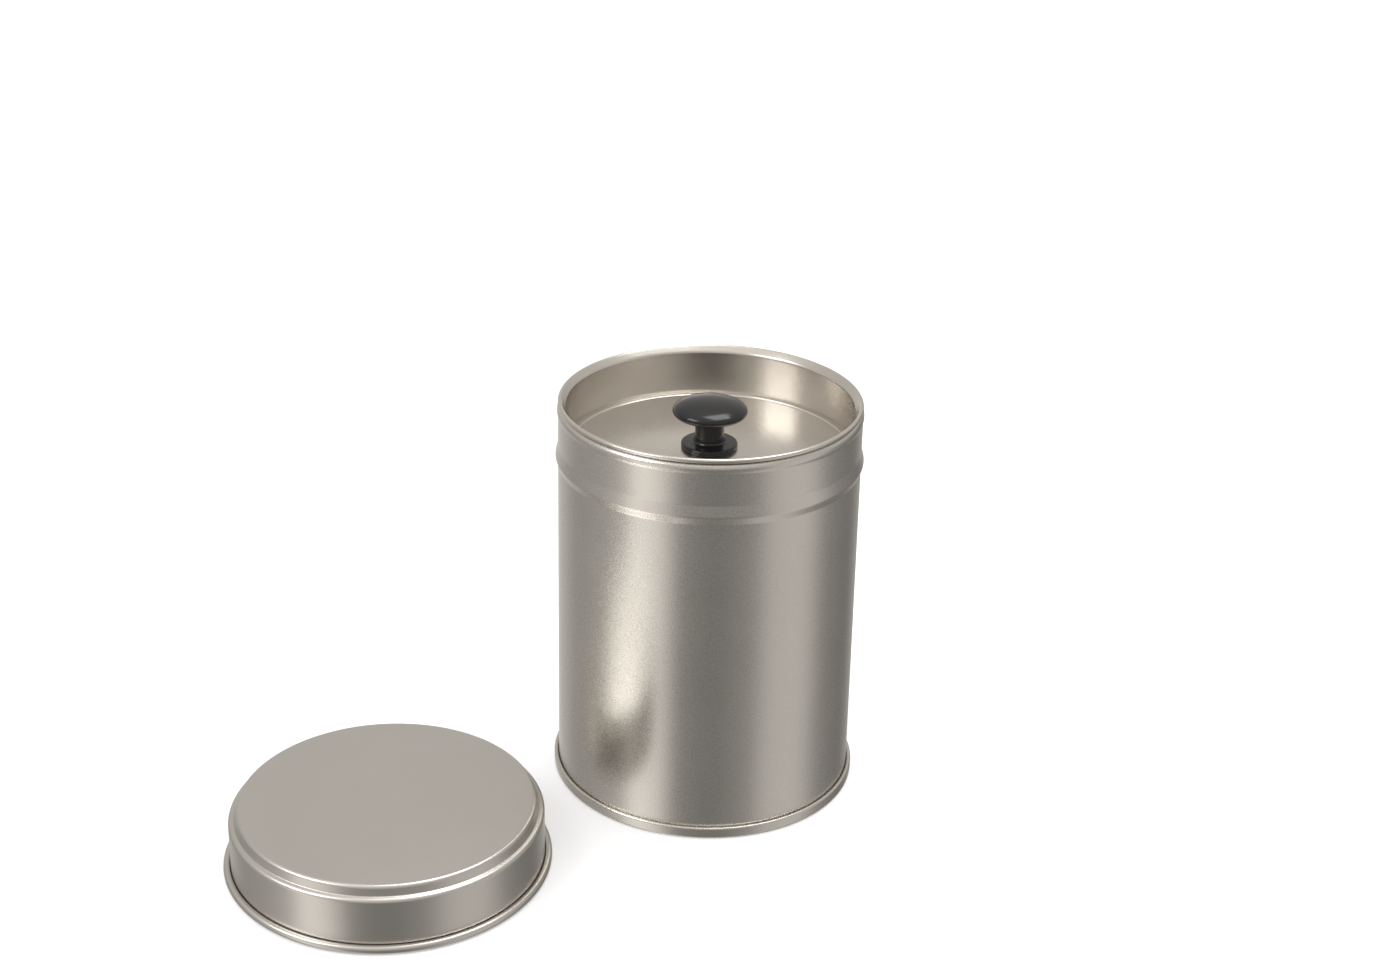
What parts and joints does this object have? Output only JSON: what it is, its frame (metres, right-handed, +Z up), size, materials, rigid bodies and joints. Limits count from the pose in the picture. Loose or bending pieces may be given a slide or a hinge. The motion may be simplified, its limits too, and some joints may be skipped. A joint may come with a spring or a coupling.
{
  "type": "tea tin with inner lid",
  "caption": "Round tinplate canister with a stop bead and double-seamed base, an inner plug lid with a black knob, and a slip-on outer lid lying beside it.",
  "frame": {"origin": "on the canister's axis, on the plane of the table that the base's double seam rests on", "axes": "+Z up along the canister's axis, out of its mouth; +Y away from the picture's camera, towards the body's side seam; +X to the picture's right. The outer lid lies on the table towards -X and -Y."},
  "size_m": [0.1593, 0.1263, 0.1031],
  "materials": {
    "tinplate": "satin tin-plated steel sheet with a fine grain",
    "inner_lid_tinplate": "satin tin-plated steel sheet, a little brighter",
    "lid_tinplate": "matte tin-plated steel sheet",
    "black_plastic": "glossy moulded black plastic",
    "plated_steel": "zinc-plated steel"
  },
  "bodies": {
    "canister": {"body_shell": "tinplate", "base_end": "tinplate"},
    "inner_lid_and_knob": {"inner_lid": "inner_lid_tinplate", "knob": "black_plastic", "knob_screw": "plated_steel", "knob_washer": "plated_steel"},
    "outer_lid": {"outer_lid": "lid_tinplate"}
  },
  "joints": [
    {"name": "inner_lid_lift", "type": "slide", "parent": "canister", "child": "inner_lid_and_knob", "axis": [0, 0, 1], "range_m": [0, 0.06]},
    {"name": "outer_lid_lift", "type": "slide", "parent": "canister", "child": "outer_lid", "axis": [0, 0, 1], "range_m": [0, 0.12]}
  ]
}
